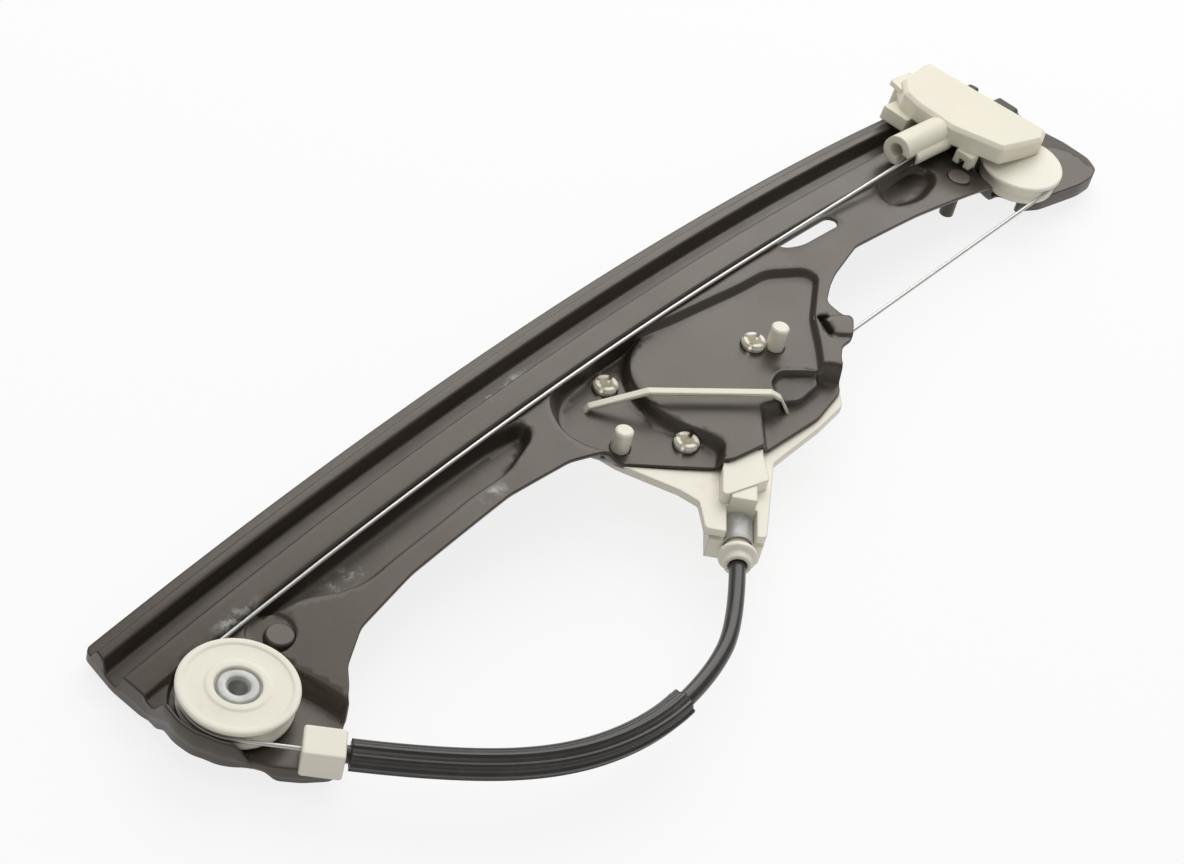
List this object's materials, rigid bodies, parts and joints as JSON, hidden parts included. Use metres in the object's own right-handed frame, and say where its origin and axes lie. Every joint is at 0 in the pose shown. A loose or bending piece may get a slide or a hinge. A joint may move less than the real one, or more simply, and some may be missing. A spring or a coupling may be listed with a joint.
{
  "type": "window regulator",
  "caption": "Cable window regulator with a curved stamped rail, glass carrier, guide pulleys, drum housing and a sheathed cable run.",
  "frame": {"origin": "mouth of the drum's drive bore, on the drum axis, at the back of the housing", "axes": "+X along the rail towards the upper pulley, +Y towards the rail's outer flange, +Z out of the plate on the carrier side"},
  "size_m": [0.5198, 0.1577, 0.0399],
  "materials": {
    "steel_ecoat": "semi-gloss black electrocoat",
    "acetal_ivory": "moulded, natural ivory",
    "acetal_cream": "moulded, cream",
    "zinc_steel": "zinc plated",
    "wire_rope": "galvanised strand, greased",
    "black_tube": "extruded, semi-matt",
    "rubber_pad": "matt",
    "spring_steel": "bright"
  },
  "bodies": {
    "plate": {"rail_plate": "steel_ecoat", "mounting_studs": "steel_ecoat", "drum_housing": "acetal_ivory", "drum_retaining_strap": "acetal_ivory", "lower_pulley_rivet": "zinc_steel", "upper_pulley_axle": "zinc_steel", "pulley_washers": "zinc_steel", "rail_cable": "wire_rope", "upper_cable": "wire_rope", "drum_side_cable": "wire_rope", "conduit": "black_tube", "conduit_cable": "wire_rope", "conduit_sleeve": "black_tube", "conduit_end_block": "acetal_ivory", "tensioner_cup": "zinc_steel", "tensioner_spring": "spring_steel"},
    "carrier": {"carrier_body": "acetal_cream", "glass_liner": "rubber_pad", "slider_shoe": "acetal_ivory", "channel_shoe": "acetal_ivory", "cable_nipples": "zinc_steel"},
    "drum": {"cable_drum": "acetal_ivory", "drum_windings": "wire_rope"},
    "lower_wheel": {"lower_pulley": "acetal_ivory"},
    "upper_wheel": {"upper_pulley": "acetal_ivory"},
    "cap": {"tensioner_cap": "acetal_ivory"}
  },
  "joints": [
    {"name": "carrier_travel", "type": "hinge", "parent": "plate", "child": "carrier", "pos_m": [0, 0, -1.3254], "axis": [0, 1, 0], "range_deg": [-15.9, 0]},
    {"name": "drum_spin", "type": "hinge", "parent": "plate", "child": "drum", "pos_m": [0, 0, 0.012], "axis": [0, 0, 1], "range_deg": [-20, 1260]},
    {"name": "lower_pulley_spin", "type": "hinge", "parent": "plate", "child": "lower_wheel", "pos_m": [-0.2265, 0.0079, 0.008], "axis": [0, 0, 1], "range_deg": [-20, 1200]},
    {"name": "upper_pulley_spin", "type": "hinge", "parent": "plate", "child": "upper_wheel", "pos_m": [0.224, -0.0002, 0.0075], "axis": [0, 0, 1], "range_deg": [-20, 1420]},
    {"name": "tensioner_slide", "type": "slide", "parent": "plate", "child": "cap", "axis": [0.788, 0.6157, 0], "range_m": [0, 0.0022], "stiffness_N_per_m": 3000, "deforming": ["tensioner_spring"]}
  ],
  "couplings": [
    {"joint": "drum_spin", "follows": "carrier_travel", "ratio": -74.586},
    {"joint": "lower_pulley_spin", "follows": "carrier_travel", "ratio": -71.053},
    {"joint": "upper_pulley_spin", "follows": "carrier_travel", "ratio": -85.987}
  ]
}
